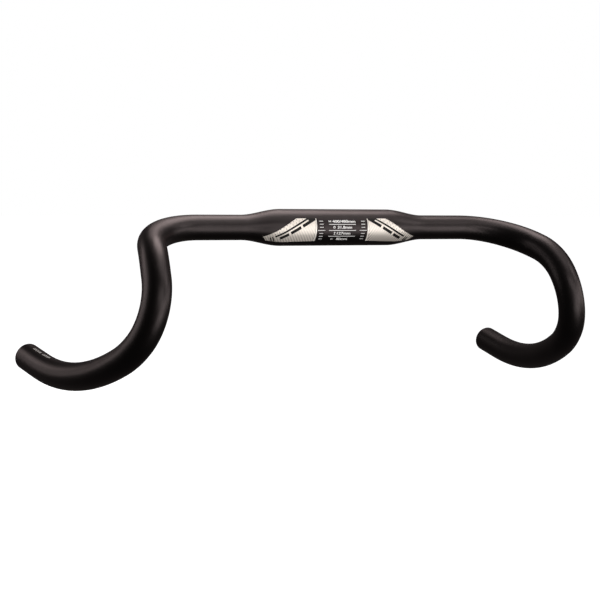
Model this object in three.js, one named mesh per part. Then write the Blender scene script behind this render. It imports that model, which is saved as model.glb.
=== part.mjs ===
// Drop handlebar: one swaged and bent alloy tube, with the printed transfers on its clamp and grip.
// Millimetres and degrees. +X runs along the tops to the rider's left, -Y points ahead, +Z points up.
// The origin is the middle of the stem clamp, and the bar mirrors about the plane x = 0.
import * as THREE from 'three';

// Tube sections. Lengths run along the centre line, from the middle of the clamp outwards.
const clampDiameter = 31.8;
const clampHalfLength = 53;
const shoulderLength = 37;
const topHeight = 21.6;
const topWidth = 25;
const gripDiameter = 23.8;
const clampWall = 2.2;
const topWall = 1.8;
const gripWall = 1.6;

// Bend table of one side. plane turns a bend about the tube: 0 bends it ahead, 90 bends it down.
const topHalfLength = 130;
const reachBend = { radius: 60, angle: 73, plane: 18 };
const rampLength = 4;
const kneeBend = { radius: 56, angle: 37, plane: 96 };
const dropPlane = 129.5;
const hookBend = { radius: 43.5, angle: 75.5, plane: dropPlane };
const easeBend = { radius: 77, angle: 20.5, plane: dropPlane };
const dropBend = { radius: 210, angle: 36.5, plane: dropPlane };
const endLength = 29;

// Printed transfers. Angles go round the tube from its front, positive upwards.
const transferThickness = 0.2;
const transferGap = 0.3;
const printMiddleAngle = -5.5;
const printHalfAngle = 38.5;
const tableHalfLength = 14.5;
const scaleGap = 2;
const scaleLength = 7.6;
const panelGap = 2.2;
const panelTopLength = 18;
const panelPointLength = 49;
const panelPointAngle = -33;
const panelToeSetback = 3.5;
const panelToeDrop = 6;
const endMarkLength = 36;
const endMarkFromEnd = 13;
const endMarkAngle = -159;
const endMarkHalfAngle = 12;

// How finely the round shapes are faceted
const tubeSides = 24;
const bendSag = 0.16;
const shoulderSteps = 5;
const leastStationGap = 2.5;
const straightStep = 40;
const transferStep = 8;
const transferAngleStep = 8;

const blackAnodised = { color: 0x1c1a1a, roughness: 0.42, metalness: 0.75 };
const silverFoil = { color: 0xb9b2aa, roughness: 0.4, metalness: 0.6 };
const whiteInk = { color: 0xd8d4cf, roughness: 0.6, metalness: 0 };
const greyInk = { color: 0x8a8580, roughness: 0.6, metalness: 0 };

const degrees = THREE.MathUtils.degToRad;

// The steps that form one side: straight lengths and bends, in order from the middle outwards
const formingSteps = [
  { length: topHalfLength },
  reachBend,
  { length: rampLength },
  kneeBend,
  hookBend,
  easeBend,
  dropBend,
  { length: endLength },
];

function stepLength(step) {
  return step.length ?? step.radius * degrees(step.angle);
}

const halfLength = formingSteps.reduce((sum, step) => sum + stepLength(step), 0);

// The tube's own axes after one step: X runs along it, -Y is its front and +Z its top.
// A bend turns them about its centre only, so the section never twists about the centre line.
function travel(step, distance) {
  if (step.length !== undefined) {
    return new THREE.Matrix4().makeTranslation(distance, 0, 0);
  }
  const plane = degrees(step.plane);
  return new THREE.Matrix4()
    .makeRotationX(plane)
    .multiply(new THREE.Matrix4().makeTranslation(0, -step.radius, 0))
    .multiply(new THREE.Matrix4().makeRotationZ(-distance / step.radius))
    .multiply(new THREE.Matrix4().makeTranslation(0, step.radius, 0))
    .multiply(new THREE.Matrix4().makeRotationX(-plane));
}

// Where the tube's own axes are at a distance from the middle, on the +X side
function axesAt(distance) {
  const axes = new THREE.Matrix4();
  let left = distance;
  for (const step of formingSteps) {
    const part = Math.min(left, stepLength(step));
    axes.multiply(travel(step, part));
    left -= part;
    if (left <= 0) break;
  }
  return axes;
}

// A value that holds to the start of a stretch, eases over it and holds after it
function ease(distance, start, end, before, after) {
  return before + (after - before) * THREE.MathUtils.smoothstep(distance, start, end);
}

// The tube's section: half its height, half its width and its wall
function sectionAt(distance) {
  const shoulderEnd = clampHalfLength + shoulderLength;
  const reachBendEnd = topHalfLength + stepLength(reachBend);
  const size = (clamp, top, grip) =>
    ease(distance, clampHalfLength, shoulderEnd, clamp, top) +
    ease(distance, topHalfLength, reachBendEnd, 0, grip - top);
  return {
    halfHeight: size(clampDiameter, topHeight, gripDiameter) / 2,
    halfWidth: size(clampDiameter, topWidth, gripDiameter) / 2,
    wall: size(clampWall, topWall, gripWall),
  };
}

// A point held by the tube: along its centre line (negative on the -X side), round it from
// its front, and out from its surface
function pointOnTube(along, angle, outwards) {
  const distance = Math.abs(along);
  const section = sectionAt(distance);
  const point = new THREE.Vector3(
    0,
    -(section.halfWidth + outwards) * Math.cos(angle),
    (section.halfHeight + outwards) * Math.sin(angle),
  );
  point.applyMatrix4(axesAt(distance));
  if (along < 0) point.x = -point.x;
  return point;
}

function makePart(name, geometry, finish) {
  geometry.computeVertexNormals();
  const mesh = new THREE.Mesh(geometry, new THREE.MeshStandardMaterial(finish));
  mesh.name = name;
  return mesh;
}

// How many facets a step takes: a bend's centre line stays within bendSag of its arc
function facetCount(step) {
  if (step.length !== undefined) return Math.ceil(step.length / straightStep);
  return Math.ceil(degrees(step.angle) / (2 * Math.acos(1 - bendSag / step.radius)));
}

// Distances from the middle where the tube's section or direction is faceted, on one side
function facetStations() {
  const stations = [];
  let start = 0;
  for (const step of formingSteps) {
    const length = stepLength(step);
    const count = facetCount(step);
    for (let i = 0; i < count; i += 1) stations.push(start + (length * i) / count);
    start += length;
  }
  stations.push(halfLength);
  for (let i = 0; i <= shoulderSteps; i += 1) {
    stations.push(clampHalfLength + (shoulderLength * i) / shoulderSteps);
  }
  return stations
    .sort((a, b) => a - b)
    .filter((station, i, all) => i === 0 || station - all[i - 1] > leastStationGap);
}

// The blank is turned straight along Y, outside then bore, and each of its points is then
// carried onto the bent and flattened tube.
function makeTube() {
  const side = facetStations();
  const outside = [...side.slice(1).reverse().map((station) => -station), ...side];
  const last = outside.length - 1;
  const bore = outside.filter((station, i) => i % 2 === 0 || i === last).reverse();
  const outsideProfile = outside.map((along) =>
    new THREE.Vector2(sectionAt(Math.abs(along)).halfHeight, along));
  const boreProfile = bore.map((along) => {
    const section = sectionAt(Math.abs(along));
    return new THREE.Vector2(section.halfHeight - section.wall, along);
  });
  const profile = [...outsideProfile, ...boreProfile, outsideProfile[0]];
  const blank = new THREE.LatheGeometry(profile, tubeSides);
  const points = blank.getAttribute('position');
  for (let i = 0; i < points.count; i += 1) {
    const along = points.getY(i);
    const radius = Math.hypot(points.getX(i), points.getZ(i));
    const angle = Math.atan2(points.getX(i), -points.getZ(i));
    const outwards = radius - sectionAt(Math.abs(along)).halfHeight;
    const bent = pointOnTube(along, angle, outwards);
    points.setXYZ(i, bent.x, bent.y, bent.z);
  }
  return makePart('bar_tube', blank, blackAnodised);
}

function between(start, end, share) {
  return start.map((value, i) => THREE.MathUtils.lerp(value, end[i], share));
}

// A printed transfer wrapped on the tube. Each row is the print's near and far end, as points
// [along, angle], and the rows go up it.
function makeTransfer(name, rows, finish) {
  const gaps = rows.length - 1;
  const [firstRow, lastRow] = [rows[0], rows[gaps]];
  const facetsAlong = Math.ceil((firstRow[1][0] - firstRow[0][0]) / transferStep);
  const facetsAround = Math.ceil((lastRow[0][1] - firstRow[0][1]) / transferAngleStep / gaps);
  const film = new THREE.BoxGeometry(1, 1, 1, facetsAlong, facetsAround * gaps);
  const points = film.getAttribute('position');
  for (let i = 0; i < points.count; i += 1) {
    const climb = (points.getY(i) + 0.5) * gaps;
    const row = Math.min(Math.floor(climb), gaps - 1);
    const near = between(rows[row][0], rows[row + 1][0], climb - row);
    const far = between(rows[row][1], rows[row + 1][1], climb - row);
    const [along, angle] = between(near, far, points.getX(i) + 0.5);
    const outwards = transferGap + (points.getZ(i) + 0.5) * transferThickness;
    const wrapped = pointOnTube(along, degrees(angle), outwards);
    points.setXYZ(i, wrapped.x, wrapped.y, wrapped.z);
  }
  return makePart(name, film, finish);
}

// A print with square corners between two distances along the tube and two angles round it
function squareRows(near, far, low, high) {
  return [[[near, low], [far, low]], [[near, high], [far, high]]];
}

// The same print on the -X side: it mirrors, and its ends swap so that it still runs towards +X
function mirrorRows(rows) {
  return rows.map(([near, far]) => [[-far[0], far[1]], [-near[0], near[1]]]);
}

const printLow = printMiddleAngle - printHalfAngle;
const printHigh = printMiddleAngle + printHalfAngle;
const scaleStart = tableHalfLength + scaleGap;
const scaleEnd = scaleStart + scaleLength;
const panelStart = scaleEnd + panelGap;
const panelPoint = panelStart + panelPointLength;

const tableRows = squareRows(-tableHalfLength, tableHalfLength, printLow, printHigh);
const scaleRows = squareRows(scaleStart, scaleEnd, printLow, printHigh);
const panelRows = [
  [[panelStart, printLow], [panelPoint - panelToeSetback, printLow - panelToeDrop]],
  [[panelStart, panelPointAngle], [panelPoint, panelPointAngle]],
  [[panelStart, printHigh], [panelStart + panelTopLength, printHigh]],
];
const endMarkFar = halfLength - endMarkFromEnd;
const endMarkRows = squareRows(
  endMarkFar - endMarkLength,
  endMarkFar,
  endMarkAngle - endMarkHalfAngle,
  endMarkAngle + endMarkHalfAngle,
);

const handlebar = new THREE.Group();
handlebar.add(
  makeTube(),
  makeTransfer('size_table_transfer', tableRows, whiteInk),
  makeTransfer('left_tilt_scale_transfer', scaleRows, whiteInk),
  makeTransfer('right_tilt_scale_transfer', mirrorRows(scaleRows), whiteInk),
  makeTransfer('left_panel_transfer', panelRows, silverFoil),
  makeTransfer('right_panel_transfer', mirrorRows(panelRows), silverFoil),
  makeTransfer('right_end_mark_transfer', mirrorRows(endMarkRows), greyInk),
);

export default handlebar;
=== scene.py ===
import math

import bpy
from mathutils import Matrix, Vector


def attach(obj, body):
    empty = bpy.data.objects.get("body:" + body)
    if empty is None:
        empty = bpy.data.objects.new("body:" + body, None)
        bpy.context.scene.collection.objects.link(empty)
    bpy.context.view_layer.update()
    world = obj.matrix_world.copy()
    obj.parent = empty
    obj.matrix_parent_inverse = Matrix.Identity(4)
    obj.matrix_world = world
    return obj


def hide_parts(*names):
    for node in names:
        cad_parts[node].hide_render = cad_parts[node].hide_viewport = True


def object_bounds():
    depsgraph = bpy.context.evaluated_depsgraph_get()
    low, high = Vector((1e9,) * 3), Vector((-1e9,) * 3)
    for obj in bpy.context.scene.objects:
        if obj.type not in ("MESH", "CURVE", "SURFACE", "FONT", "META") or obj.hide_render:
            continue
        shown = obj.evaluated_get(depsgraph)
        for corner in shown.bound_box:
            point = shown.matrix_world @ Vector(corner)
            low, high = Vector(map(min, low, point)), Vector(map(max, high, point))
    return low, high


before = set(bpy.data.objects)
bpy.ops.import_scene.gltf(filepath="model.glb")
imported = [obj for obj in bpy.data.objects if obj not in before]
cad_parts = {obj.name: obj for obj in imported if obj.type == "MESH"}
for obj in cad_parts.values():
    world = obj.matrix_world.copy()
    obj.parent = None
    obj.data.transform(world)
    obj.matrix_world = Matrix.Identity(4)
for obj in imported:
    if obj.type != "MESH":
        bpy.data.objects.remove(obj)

cad_low, cad_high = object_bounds()

# ---------------------------------------------------------------------------------------------
# Camera. A long lens, from ahead of the bar and from the rider's right, a little above it.
# ---------------------------------------------------------------------------------------------
camera_aim = Vector((-0.0374, -0.0131, -0.0617))
camera_distance = 1.396
camera_azimuth = math.radians(-27.9)
camera_height_angle = math.radians(6.28)
camera_roll = math.radians(1.93)
camera_lens = 97.2

camera_turn = (
    Matrix.Rotation(camera_azimuth, 4, "Z")
    @ Matrix.Rotation(math.radians(90) - camera_height_angle, 4, "X")
    @ Matrix.Rotation(camera_roll, 4, "Z")
)
bpy.ops.object.camera_add()
camera = bpy.context.object
camera.name = "camera"
camera.data.lens = camera_lens
camera.data.sensor_width = 36
camera.data.clip_start = 0.05
camera.data.clip_end = 50
camera.matrix_world = (
    Matrix.Translation(camera_aim + camera_turn.to_3x3() @ Vector((0, 0, camera_distance)))
    @ camera_turn
)
bpy.context.scene.camera = camera
bpy.context.scene.view_settings.view_transform = "Standard"

# ---------------------------------------------------------------------------------------------
# Bar tube. One drawn aluminium tube, swaged smaller on both sides of the stem clamp, with its
# tops pressed oval. It is bent in a mandrel bender, bead blasted and anodised black.
# ---------------------------------------------------------------------------------------------
clamp_radius = cad_high.z
clamp_half_length = 0.053
shoulder_length = 0.037
top_half_height = 0.0108
top_half_width = 0.0125
grip_radius = 0.0119
clamp_wall = 0.0022
top_wall = 0.0018
grip_wall = 0.0016
top_half_length = 0.130

# The bends of one side, from the middle outwards: straight before it, radius, angle, and the
# plane that it lies in, turned about the tube from straight ahead (0) towards down (90).
bends = (
    (0.130, 0.060, 73, 18),
    (0.004, 0.056, 37, 96),
    (0, 0.0435, 75.5, 129.5),
    (0, 0.077, 20.5, 129.5),
    (0, 0.210, 36.5, 129.5),
)
end_length = 0.029
reach_bend_end = top_half_length + bends[0][1] * math.radians(bends[0][2])
half_length = end_length + sum(s + r * math.radians(a) for s, r, a, plane in bends)


def eased(distance, start, end):
    share = min(1, max(0, (distance - start) / (end - start)))
    return share * share * (3 - 2 * share)


def tube_size(distance, clamp, top, grip):
    swaged = eased(distance, clamp_half_length, clamp_half_length + shoulder_length)
    rounded = eased(distance, top_half_length, reach_bend_end)
    return clamp + (top - clamp) * swaged + (grip - top) * rounded


def tube_section(distance):
    width = tube_size(distance, clamp_radius, top_half_width, grip_radius)
    height = tube_size(distance, clamp_radius, top_half_height, grip_radius)
    return width, height


def tube_axes(distance):
    """The tube's own axes at a distance from the middle of the clamp, on the +X side."""
    axes = Matrix.Identity(4)
    left = distance
    for straight, radius, angle, plane in bends:
        part = min(left, straight)
        axes = axes @ Matrix.Translation((part, 0, 0))
        left -= part
        part = min(left, radius * math.radians(angle))
        to_plane = Matrix.Rotation(math.radians(plane), 4, "X")
        to_centre = Matrix.Translation((0, -radius, 0))
        turn = Matrix.Rotation(-part / radius, 4, "Z")
        axes = axes @ to_plane @ to_centre @ turn @ to_centre.inverted() @ to_plane.inverted()
        left -= part
    return axes @ Matrix.Translation((left, 0, 0))


def bend_to_shape(piece):
    """Carry a piece that was made on the straight tube onto the bent one."""
    axes_at = {}
    for vertex in piece.data.vertices:
        along = vertex.co.x
        distance = round(abs(along), 7)
        if distance not in axes_at:
            axes_at[distance] = tube_axes(distance)
        place = axes_at[distance] @ Vector((0, vertex.co.y, vertex.co.z))
        vertex.co = (math.copysign(place.x, along), place.y, place.z) if along else place
    piece.data.update()


def start_piece(name):
    """The new primitive, named and opened in edit mode with all of it selected."""
    piece = bpy.context.object
    piece.name = name
    piece.data.name = name
    bpy.ops.object.transform_apply(location=True, rotation=True, scale=True)
    bpy.ops.object.mode_set(mode="EDIT")
    return piece


def draw_out(along, width, height, from_along, from_width, from_height):
    """Extrude the open ring along the blank, then size it."""
    bpy.ops.mesh.extrude_region_move(
        TRANSFORM_OT_translate={"value": (along - from_along, 0, 0)}
    )
    bpy.ops.transform.resize(
        value=(1, width / from_width, height / from_height), center_override=(along, 0, 0)
    )


tube_sides = 96
shoulder_rings = 28
degrees_per_ring = 2.5
rim_chamfer = 0.0003
bore_rings_apart = 0.008
outside_share = 0.95


def outside_stations():
    """Distances along the blank where its outside gets a ring, close together where it bends."""
    stations = [
        clamp_half_length + shoulder_length * i / shoulder_rings
        for i in range(shoulder_rings + 1)
    ]
    start = 0
    for straight, radius, angle, plane in bends:
        start += straight
        length = radius * math.radians(angle)
        rings = round(angle / degrees_per_ring)
        stations += [start + length * i / rings for i in range(rings + 1)]
        start += length
    return sorted({round(s, 6) for s in stations if s > 0})


bpy.ops.object.select_all(action="DESELECT")
bpy.ops.mesh.primitive_circle_add(
    vertices=tube_sides, radius=clamp_radius, rotation=(0, math.radians(90), 0)
)
bar = start_piece("bar_tube_anodised")
ring = (0, clamp_radius, clamp_radius)
for distance in [*outside_stations(), half_length - rim_chamfer]:
    width, height = tube_section(distance)
    draw_out(distance, width, height, *ring)
    ring = (distance, width, height)
rim = [
    (half_length, grip_radius - rim_chamfer),
    (half_length, grip_radius - grip_wall + rim_chamfer),
    (half_length - rim_chamfer, grip_radius - grip_wall),
]
for distance, radius in rim:
    draw_out(distance, radius, radius, *ring)
    ring = (distance, radius, radius)
bore_rings = math.ceil(half_length / bore_rings_apart)
for i in range(bore_rings - 1, -1, -1):
    distance = half_length * i / bore_rings
    width, height = tube_section(distance)
    wall = tube_size(distance, clamp_wall, top_wall, grip_wall)
    draw_out(distance, width - wall, height - wall, *ring)
    ring = (distance, width - wall, height - wall)
bpy.ops.object.mode_set(mode="OBJECT")

mirror = bar.modifiers.new("other_half", "MIRROR")
mirror.use_axis = (True, False, False)
mirror.merge_threshold = 1e-6
bpy.ops.object.modifier_apply(modifier=mirror.name)
bpy.ops.object.mode_set(mode="EDIT")
bpy.ops.mesh.select_all(action="SELECT")
bpy.ops.mesh.normals_make_consistent(inside=False)
bpy.ops.object.mode_set(mode="OBJECT")

# The bore and the cut ends are marked while the tube is straight
for face in bar.data.polygons:
    distance = abs(face.center.x)
    width, height = tube_section(distance)
    outside = math.hypot(face.center.y / width, face.center.z / height) > outside_share
    cut_end = distance > half_length - rim_chamfer
    face.material_index = 2 if cut_end else (0 if outside else 1)
bend_to_shape(bar)
bpy.ops.object.shade_smooth_by_angle(angle=math.radians(30))


def new_material(name):
    material = bpy.data.materials.new(name)
    material.use_nodes = True
    return material, material.node_tree.nodes, material.node_tree.links


def add_node(nodes, kind, **values):
    node = nodes.new(kind)
    for key, value in values.items():
        if key in node.inputs:
            node.inputs[key].default_value = value
        else:
            setattr(node, key, value)
    return node


def blasted_black():
    """Bead-blasted and anodised: a dark satin metal with a fine, even grain."""
    material, nodes, links = new_material("blasted_black_anodising")
    shader = nodes["Principled BSDF"]
    shader.inputs["Metallic"].default_value = 1
    shader.inputs["Specular Tint"].default_value = (1, 0.9, 0.89, 1)
    place = add_node(nodes, "ShaderNodeTexCoord")
    cloud = add_node(nodes, "ShaderNodeTexNoise", Scale=55, Detail=4, Roughness=0.6)
    grain = add_node(nodes, "ShaderNodeTexNoise", Scale=2600, Detail=2, Roughness=0.7)
    links.new(place.outputs["Object"], cloud.inputs["Vector"])
    links.new(place.outputs["Object"], grain.inputs["Vector"])
    tone = add_node(nodes, "ShaderNodeValToRGB")
    tone.color_ramp.elements[0].position = 0.3
    tone.color_ramp.elements[0].color = (0.0255, 0.0212, 0.0209, 1)
    tone.color_ramp.elements[1].position = 0.7
    tone.color_ramp.elements[1].color = (0.0295, 0.0246, 0.0243, 1)
    links.new(cloud.outputs["Fac"], tone.inputs["Fac"])
    links.new(tone.outputs["Color"], shader.inputs["Base Color"])
    gloss = add_node(nodes, "ShaderNodeMapRange")
    gloss.inputs["From Min"].default_value = 0.3
    gloss.inputs["From Max"].default_value = 0.7
    gloss.inputs["To Min"].default_value = 0.34
    gloss.inputs["To Max"].default_value = 0.42
    links.new(grain.outputs["Fac"], gloss.inputs["Value"])
    links.new(gloss.outputs["Result"], shader.inputs["Roughness"])
    bump = add_node(nodes, "ShaderNodeBump", Strength=0.25, Distance=0.00002)
    links.new(grain.outputs["Fac"], bump.inputs["Height"])
    links.new(bump.outputs["Normal"], shader.inputs["Normal"])
    return material


def plain_metal(name, color, roughness):
    material, nodes, links = new_material(name)
    shader = nodes["Principled BSDF"]
    shader.inputs["Metallic"].default_value = 1
    place = add_node(nodes, "ShaderNodeTexCoord")
    marks = add_node(nodes, "ShaderNodeTexNoise", Scale=400, Detail=3, Roughness=0.6)
    links.new(place.outputs["Object"], marks.inputs["Vector"])
    tone = add_node(nodes, "ShaderNodeMix", data_type="RGBA", blend_type="MULTIPLY")
    tone.inputs["Factor"].default_value = 0.4
    tone.inputs["A"].default_value = color
    links.new(marks.outputs["Color"], tone.inputs["B"])
    links.new(tone.outputs["Result"], shader.inputs["Base Color"])
    shader.inputs["Roughness"].default_value = roughness
    return material


bar.data.materials.append(blasted_black())
bar.data.materials.append(plain_metal("drawn_bore", (0.10, 0.095, 0.09, 1), 0.5))
bar.data.materials.append(plain_metal("faced_end", (0.22, 0.20, 0.19, 1), 0.35))
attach(bar, "root")
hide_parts("bar_tube")

# ---------------------------------------------------------------------------------------------
# Panel foils. A pair of thin silver transfers, one on each side of the clamp, that reach out
# onto the shoulders. A fine printed hatch fades upwards, and a plain blade runs up the inner
# edge. They are laid on over the anodising.
# ---------------------------------------------------------------------------------------------
print_rise = 0.00006
print_sink = 0.00003
print_middle = 0.0006
print_step_along = 0.002
print_step_around = 0.001
flat_scale = 10

panel_top_angle = 33
panel_foot_angle = -43
panel_shoulder = 0.0442
panel_point = 0.0747
panel_point_angle = -33
panel_toe = 0.0712
panel_toe_angle = -49.5
blade_inner = 0.0252
blade_gap = 0.0003
blade_top_width = 0.0005
blade_foot_width = 0.0018
silver = (0.765, 0.69, 0.615, 1)
hatch_brown = (0.10, 0.085, 0.075, 1)
hatch_lean = math.radians(33)
hatch_fineness = 14
hatch_top_angle = 10


def around(degrees):
    """Distance round the clamp's surface from straight ahead, upwards."""
    return clamp_radius * math.radians(degrees)


def start_print(name, low, high):
    """A flat sheet: x runs along the tube from the print's middle, y runs up round it."""
    bpy.ops.object.mode_set(mode="OBJECT")
    bpy.ops.object.select_all(action="DESELECT")
    bpy.ops.mesh.primitive_plane_add(
        size=1,
        location=((low[0] + high[0]) / 2, (low[1] + high[1]) / 2, -print_sink),
    )
    bpy.context.object.scale = (high[0] - low[0], high[1] - low[1], 1)
    return start_piece(name)


def trim(start, end):
    """Cut the sheet along the line from start to end and drop what is on the line's left."""
    left = Vector((start[1] - end[1], end[0] - start[0], 0)).normalized()
    bpy.ops.mesh.select_all(action="SELECT")
    bpy.ops.mesh.bisect(plane_co=(*start, 0), plane_no=left, clear_outer=True, threshold=1e-6)


def mirrored(piece, name):
    """The same flat print for the other side of the clamp, as its own piece."""
    bpy.ops.object.mode_set(mode="OBJECT")
    bpy.ops.object.select_all(action="DESELECT")
    piece.select_set(True)
    bpy.context.view_layer.objects.active = piece
    bpy.ops.object.duplicate()
    copy = bpy.context.object
    copy.name = name
    copy.data.name = name
    bpy.ops.object.mode_set(mode="EDIT")
    bpy.ops.mesh.select_all(action="SELECT")
    bpy.ops.transform.resize(value=(-1, 1, 1), center_override=(0, 0, 0))
    bpy.ops.object.mode_set(mode="OBJECT")
    return copy


def lay_on_tube(piece, over=0):
    """Slice a flat print finely, thicken it, keep its flat places as its UV map and wrap it."""
    bpy.ops.object.mode_set(mode="OBJECT")
    bpy.ops.object.select_all(action="DESELECT")
    piece.select_set(True)
    bpy.context.view_layer.objects.active = piece
    places = [vertex.co for vertex in piece.data.vertices]
    low = [min(place[i] for place in places) for i in (0, 1)]
    high = [max(place[i] for place in places) for i in (0, 1)]
    bpy.ops.object.mode_set(mode="EDIT")
    for i, step in enumerate((print_step_along, print_step_around)):
        for k in range(math.floor(low[i] / step) + 1, math.ceil(high[i] / step)):
            bpy.ops.mesh.select_all(action="SELECT")
            cut = [0, 0, 0]
            cut[i] = k * step
            bpy.ops.mesh.bisect(plane_co=cut, plane_no=(1 - i, i, 0), threshold=1e-6)
    bpy.ops.mesh.select_all(action="SELECT")
    bpy.ops.mesh.extrude_region_move(
        TRANSFORM_OT_translate={"value": (0, 0, print_sink + print_rise)}
    )
    bpy.ops.mesh.select_all(action="SELECT")
    bpy.ops.mesh.normals_make_consistent(inside=False)
    bpy.ops.object.mode_set(mode="OBJECT")
    if not piece.data.uv_layers:
        piece.data.uv_layers.new(name="flat")
    flat = piece.data.uv_layers[0]
    flat.name = "flat"
    for loop in piece.data.loops:
        place = piece.data.vertices[loop.vertex_index].co
        flat.data[loop.index].uv = (abs(place.x) * flat_scale, place.y * flat_scale)
    for vertex in piece.data.vertices:
        along = vertex.co.x + print_middle
        width, height = tube_section(abs(along))
        angle = vertex.co.y / clamp_radius
        vertex.co = (
            along,
            -(width + vertex.co.z + over) * math.cos(angle),
            (height + vertex.co.z + over) * math.sin(angle),
        )
    piece.data.update()
    bpy.ops.object.shade_smooth_by_angle(angle=math.radians(30))


def finish_print(piece, material, node):
    piece.data.materials.clear()
    piece.data.materials.append(material)
    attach(piece, "root")
    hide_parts(node)


def hatched_silver(name, cover):
    """Silver foil under a hatch of slanted lines that fades out towards its top."""
    material, nodes, links = new_material(name)
    shader = nodes["Principled BSDF"]
    shader.inputs["Metallic"].default_value = 0.3
    shader.inputs["Roughness"].default_value = 0.42
    flat = add_node(nodes, "ShaderNodeUVMap", uv_map="flat")
    turn = add_node(nodes, "ShaderNodeMapping")
    turn.inputs["Rotation"].default_value = (0, 0, hatch_lean)
    links.new(flat.outputs["UV"], turn.inputs["Vector"])
    lines = add_node(nodes, "ShaderNodeTexWave", wave_type="BANDS", bands_direction="X")
    lines.inputs["Scale"].default_value = hatch_fineness
    links.new(turn.outputs["Vector"], lines.inputs["Vector"])
    edge = add_node(nodes, "ShaderNodeMapRange")
    edge.inputs["From Min"].default_value = 0.35
    edge.inputs["From Max"].default_value = 0.65
    links.new(lines.outputs["Fac"], edge.inputs["Value"])
    split = add_node(nodes, "ShaderNodeSeparateXYZ")
    links.new(flat.outputs["UV"], split.inputs["Vector"])
    fade = add_node(nodes, "ShaderNodeMapRange")
    fade.inputs["From Min"].default_value = around(panel_foot_angle) * flat_scale
    fade.inputs["From Max"].default_value = around(hatch_top_angle) * flat_scale
    fade.inputs["To Min"].default_value = cover
    fade.inputs["To Max"].default_value = 0.05
    links.new(split.outputs["Y"], fade.inputs["Value"])
    ink = add_node(nodes, "ShaderNodeMath", operation="MULTIPLY")
    links.new(edge.outputs["Result"], ink.inputs[0])
    links.new(fade.outputs["Result"], ink.inputs[1])
    tone = add_node(nodes, "ShaderNodeMix", data_type="RGBA")
    tone.inputs["A"].default_value = silver
    tone.inputs["B"].default_value = hatch_brown
    links.new(ink.outputs["Value"], tone.inputs["Factor"])
    links.new(tone.outputs["Result"], shader.inputs["Base Color"])
    return material


def plain_print(name, color, metallic, roughness, shine=0.5):
    """Screen-printed ink with the slightly uneven cover of a thin coat."""
    material, nodes, links = new_material(name)
    shader = nodes["Principled BSDF"]
    shader.inputs["Metallic"].default_value = metallic
    shader.inputs["Roughness"].default_value = roughness
    shader.inputs["Specular IOR Level"].default_value = shine
    place = add_node(nodes, "ShaderNodeTexCoord")
    cover = add_node(nodes, "ShaderNodeTexNoise", Scale=900, Detail=3, Roughness=0.6)
    links.new(place.outputs["Object"], cover.inputs["Vector"])
    tone = add_node(nodes, "ShaderNodeMix", data_type="RGBA")
    tone.inputs["A"].default_value = color
    tone.inputs["B"].default_value = [0.8 * part for part in color[:3]] + [1]
    links.new(cover.outputs["Fac"], tone.inputs["Factor"])
    links.new(tone.outputs["Result"], shader.inputs["Base Color"])
    return material


foot_corner = (blade_inner, around(panel_foot_angle))
top_corner = (blade_inner, around(panel_top_angle))
shoulder_corner = (panel_shoulder, around(panel_top_angle))
point_corner = (panel_point, around(panel_point_angle))
toe_corner = (panel_toe, around(panel_toe_angle))
blade_top = (blade_inner + blade_top_width, top_corner[1])
blade_foot = (blade_inner + blade_foot_width, foot_corner[1])

panel = start_print("left_panel_foil", (blade_inner, toe_corner[1]), (panel_point, top_corner[1]))
trim(shoulder_corner, point_corner)
trim(point_corner, toe_corner)
trim(toe_corner, foot_corner)
trim((blade_foot[0] + blade_gap, blade_foot[1]), (blade_top[0] + blade_gap, blade_top[1]))
blade = start_print("left_panel_blade", foot_corner, (blade_foot[0], blade_top[1]))
trim(blade_top, blade_foot)

left_foil = hatched_silver("left_hatched_foil", 0.95)
right_foil = hatched_silver("right_hatched_foil", 0.4)
blade_silver = plain_print("blade_silver", (0.92, 0.85, 0.77, 1), 0.3, 0.4)
for piece, material, node in (
    (mirrored(panel, "right_panel_foil"), right_foil, "right_panel_transfer"),
    (mirrored(blade, "right_panel_blade"), blade_silver, "right_panel_transfer"),
    (panel, left_foil, "left_panel_transfer"),
    (blade, blade_silver, "left_panel_transfer"),
):
    lay_on_tube(piece)
    finish_print(piece, material, node)

# ---------------------------------------------------------------------------------------------
# Panel stripes. Plain black bars screen printed on each foil, leaning back along it: a thin one
# over a wider broken one, a block that closes both, two dashes at the foot and dots above.
# ---------------------------------------------------------------------------------------------
stripe_lean = math.radians(28.5)
stripe_foot = Vector((0.0640, -0.0077))
stripe_up = Vector((-math.cos(stripe_lean), math.sin(stripe_lean)))
stripe_below = Vector((-stripe_up.y, stripe_up.x))
stripe_bars = (
    # distance up the stripe, distance below it, length, width
    (0, 0, 0.0345, 0.0016),
    (0.0035, 0.0034, 0.0085, 0.0026),
    (0.0142, 0.0034, 0.0105, 0.0026),
    (0.0268, 0.0034, 0.0077, 0.0026),
    (0.0345, 0.00195, 0.0120, 0.0055),
    (-0.0028, 0.0020, 0.0009, 0.0056),
    (-0.0050, 0.0020, 0.0009, 0.0056),
)
dot_radius = 0.00035
dot_rows = (
    # distance above the stripe, distance up it of the first dot, dots
    (0.0021, 0.0010, 9),
    (0.0043, 0.0030, 8),
)
dots_apart = 0.0036


def add_bar(middle, length, thickness):
    """One more flat bar in the print that is open in edit mode."""
    centre = (*middle, -print_sink)
    bpy.ops.mesh.primitive_plane_add(size=1, location=centre)
    bpy.ops.transform.resize(value=(length, thickness, 1), center_override=centre)


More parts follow.
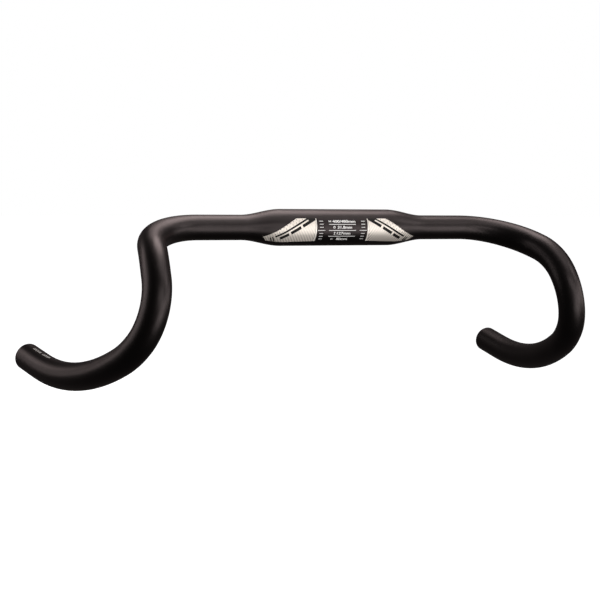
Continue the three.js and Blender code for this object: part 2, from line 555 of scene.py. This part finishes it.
for number, (up, down, length, width) in enumerate(stripe_bars):
    middle = stripe_foot + stripe_up * (up + length / 2) + stripe_below * down
    half = Vector((length, width)) / 2
    if number == 0:
        stripes = start_print("left_panel_stripes", middle - half, middle + half)
    else:
        add_bar(middle, length, width)
    bpy.ops.transform.rotate(
        value=stripe_lean, orient_axis="Z", center_override=(*middle, -print_sink)
    )
for above, first, dots in dot_rows:
    for i in range(dots):
        middle = stripe_foot + stripe_up * (first + dots_apart * i) - stripe_below * above
        bpy.ops.mesh.primitive_circle_add(
            vertices=12, radius=dot_radius, fill_type="NGON", location=(*middle, -print_sink)
        )
trim(top_corner, shoulder_corner)
trim(point_corner, toe_corner)
trim(toe_corner, foot_corner)
trim((blade_foot[0] + blade_gap, blade_foot[1]), (blade_top[0] + blade_gap, blade_top[1]))
black_ink = plain_print("black_print", (0.012, 0.010, 0.009, 1), 0, 0.6, 0.12)
twin = mirrored(stripes, "right_panel_stripes")
for piece, node in ((stripes, "left_panel_transfer"), (twin, "right_panel_transfer")):
    lay_on_tube(piece, over=print_rise)
    finish_print(piece, black_ink, node)

# ---------------------------------------------------------------------------------------------
# Tilt scales. A column of fine white lines on each side of the size table, for setting the
# bar to the same tilt again. They are screen printed.
# ---------------------------------------------------------------------------------------------
scale_middle = 0.0206
scale_top_angle = 24
scale_step = -9.75
scale_lines = 7
long_line = 3
line_long = 0.0070
line_short = 0.0036
line_thick = 0.00048

white_ink = plain_print("white_print", (0.92, 0.90, 0.87, 1), 0, 0.5)


def start_bars(name, bars):
    """A flat print of bars, each given by its middle, its length and its thickness."""
    middle, length, thickness = bars[0]
    half = Vector((length, thickness)) / 2
    piece = start_print(name, Vector(middle) - half, Vector(middle) + half)
    for bar_values in bars[1:]:
        add_bar(*bar_values)
    return piece


scale_bars = []
for i in range(scale_lines):
    middle = (scale_middle, around(scale_top_angle + scale_step * i))
    scale_bars.append((middle, line_long if i == long_line else line_short, line_thick))
scale = start_bars("left_tilt_scale", scale_bars)
for piece in (scale, mirrored(scale, "right_tilt_scale")):
    lay_on_tube(piece)
    finish_print(piece, white_ink, piece.name + "_transfer")

# ---------------------------------------------------------------------------------------------
# Size table. The bar's own sizes in figures, with three rules between the rows and a small mark
# before each: a span, a ring, a drop and a reach. It is screen printed in the same white.
# ---------------------------------------------------------------------------------------------
rule_half_length = 0.0133
rule_angles = (13.6, -5.4, -24.5)
rule_thick = 0.0005
figure_height = 0.0024
figure_bold = 0.00007
table_rows = (
    # figures, angle round the clamp, width, middle
    ("400/480mm", 23.3, 0.0228, 0.0016),
    ("31.8mm", 4.5, 0.0143, 0.0022),
    ("127mm", -14.5, 0.0135, 0.0014),
    ("80mm", -34.6, 0.0110, 0.0008),
)

rules = start_bars(
    "size_table_rules",
    [((0, around(angle)), rule_half_length * 2, rule_thick) for angle in rule_angles],
)
lay_on_tube(rules)
finish_print(rules, white_ink, "size_table_transfer")

mark_bars = (
    # middle along the clamp, angle round it, shift up, length, thickness
    (-0.0122, 23.3, 0, 0.0012, 0.0005),
    (-0.0131, 23.3, 0, 0.0005, 0.0017),
    (-0.0113, 23.3, 0, 0.0005, 0.0017),
    (-0.0076, -14.5, 0, 0.0005, 0.0012),
    (-0.0076, -14.5, 0.0009, 0.0016, 0.0005),
    (-0.0076, -14.5, -0.0009, 0.0016, 0.0005),
    (-0.0088, -34.6, 0, 0.0016, 0.0005),
    (-0.0098, -34.6, 0, 0.0005, 0.0015),
)
ring_middle = (-0.0082, 4.5)
ring_radius = 0.0011
ring_line = 0.0005

bpy.ops.object.select_all(action="DESELECT")
bpy.ops.mesh.primitive_circle_add(
    vertices=24,
    radius=ring_radius,
    fill_type="NGON",
    location=(ring_middle[0], around(ring_middle[1]), -print_sink),
)
marks = start_piece("size_table_marks")
bpy.ops.mesh.inset(thickness=ring_line, depth=0)
bpy.ops.mesh.delete(type="FACE")
for middle, angle, shift, length, thickness in mark_bars:
    add_bar((middle, around(angle) + shift), length, thickness)
lay_on_tube(marks)
finish_print(marks, white_ink, "size_table_transfer")

for row, (figures, angle, row_width, middle) in enumerate(table_rows):
    bpy.ops.object.select_all(action="DESELECT")
    bpy.ops.object.text_add()
    text = bpy.context.object
    text.name = f"size_table_row_{row + 1}"
    text.data.body = figures
    text.data.align_x = "CENTER"
    text.data.align_y = "CENTER"
    text.data.size = figure_height
    text.data.offset = figure_bold
    bpy.ops.object.convert(target="MESH")
    text = bpy.context.object
    bpy.context.view_layer.update()
    low, high = (Vector(text.bound_box[i]) for i in (0, 6))
    text.scale = (row_width / (high.x - low.x), figure_height / (high.y - low.y), 1)
    centre = (low + high) / 2
    text.location = (
        middle - centre.x * text.scale.x,
        around(angle) - centre.y * text.scale.y,
        -print_sink,
    )
    bpy.ops.object.transform_apply(location=True, rotation=True, scale=True)
    lay_on_tube(text)
    finish_print(text, white_ink, "size_table_transfer")

# ---------------------------------------------------------------------------------------------
# End mark. Two short rows of grey dashes on top of the right-hand drop, near its end, with a
# break in the middle. They are screen printed on the finished bar.
# ---------------------------------------------------------------------------------------------
mark_from_end = 0.014
mark_length = 0.033
mark_angles = (-147, -153)
dash_lengths = (0.0014, 0.0007, 0.0018, 0.0007, 0.0011)
dash_gap = 0.0006
dash_thick = 0.0008
mark_break = (0.015, 0.018)
mark_lift = 0.00004

dashes = []
for row, angle in enumerate(mark_angles):
    start = 0
    number = row
    while start < mark_length:
        length = dash_lengths[number % len(dash_lengths)]
        if not mark_break[0] - length < start < mark_break[1]:
            along = mark_from_end + start - half_length
            dashes.append(((along + length / 2, around(angle)), length, dash_thick))
        start += length + dash_gap
        number += 1
end_mark = start_bars("right_end_mark", dashes)
grey_ink = plain_print("grey_print", (0.62, 0.58, 0.55, 1), 0, 0.5)
lay_on_tube(end_mark, over=mark_lift)
bend_to_shape(end_mark)
finish_print(end_mark, grey_ink, "right_end_mark_transfer")

# ---------------------------------------------------------------------------------------------
# Studio. A plain pale sweep under ten soft rectangles of light: overhead, ahead of the bar and
# at both sides. None of them is seen itself.
# ---------------------------------------------------------------------------------------------


def add_softbox(name, place, size, power):
    """A soft rectangle of light that faces the middle of the bar."""
    place = Vector(place)
    bpy.ops.object.light_add(type="AREA", location=place)
    light = bpy.context.object
    light.name = name
    light.data.shape = "RECTANGLE"
    light.data.size = size[0]
    light.data.size_y = size[1]
    light.data.energy = power
    light.rotation_euler = place.to_track_quat("Z", "Y").to_euler()
    light.visible_camera = False


add_softbox("overhead_softbox", (0.3, 0.3, 0.9), (0.6, 0.6), 6.8)
add_softbox("overhead_wide_softbox", (0.6, 0.4, 0.95), (2.0, 0.6), 4.5)
add_softbox("overhead_front_softbox", (0.3, -0.4, 0.9), (0.6, 0.8), 3)
add_softbox("left_back_low_softbox", (-1.2, 0.6, 0.1), (1.0, 0.5), 3.3)
add_softbox("left_back_high_softbox", (-1.2, 0.9, 0.6), (1.3, 0.5), 5.2)
add_softbox("front_softbox", (0.85, -1.5, -0.15), (1.3, 1.0), 12.5)
add_softbox("front_low_softbox", (0.5, -1.5, -0.7), (1.2, 0.5), 4.5)
add_softbox("front_high_softbox", (0.2, -1.5, 0.6), (1.1, 0.5), 5.3)
add_softbox("right_softbox", (1.2, -0.6, 0.1), (1.1, 0.5), 4.9)
add_softbox("right_high_softbox", (1.3, -0.7, 0.9), (0.5, 0.5), 4.3)

room_glow = 0.06
world = bpy.data.worlds.new("studio")
bpy.context.scene.world = world
world.use_nodes = True
backdrop = world.node_tree.nodes["Background"]
ray = world.node_tree.nodes.new("ShaderNodeLightPath")
glow = world.node_tree.nodes.new("ShaderNodeMapRange")
glow.inputs["To Min"].default_value = room_glow
glow.inputs["To Max"].default_value = 1.0
world.node_tree.links.new(ray.outputs["Is Camera Ray"], glow.inputs["Value"])
world.node_tree.links.new(glow.outputs["Result"], backdrop.inputs["Strength"])
backdrop.inputs["Color"].default_value = (1, 1, 1, 1)

floor_drop = 0.25
floor_size = 12
bpy.ops.mesh.primitive_plane_add(size=floor_size, location=(0, 0, cad_low.z - floor_drop))
floor = bpy.context.object
floor.name = "floor"
floor_material, floor_nodes, floor_links = new_material("pale_floor")
floor_shader = floor_nodes["Principled BSDF"]
floor_shader.inputs["Base Color"].default_value = (0.9, 0.9, 0.9, 1)
floor_shader.inputs["Roughness"].default_value = 0.9
floor_shader.inputs["Emission Color"].default_value = (1, 1, 1, 1)
floor_shader.inputs["Emission Strength"].default_value = 1
floor.data.materials.append(floor_material)
floor.visible_glossy = False
floor.visible_diffuse = False
floor.visible_shadow = False
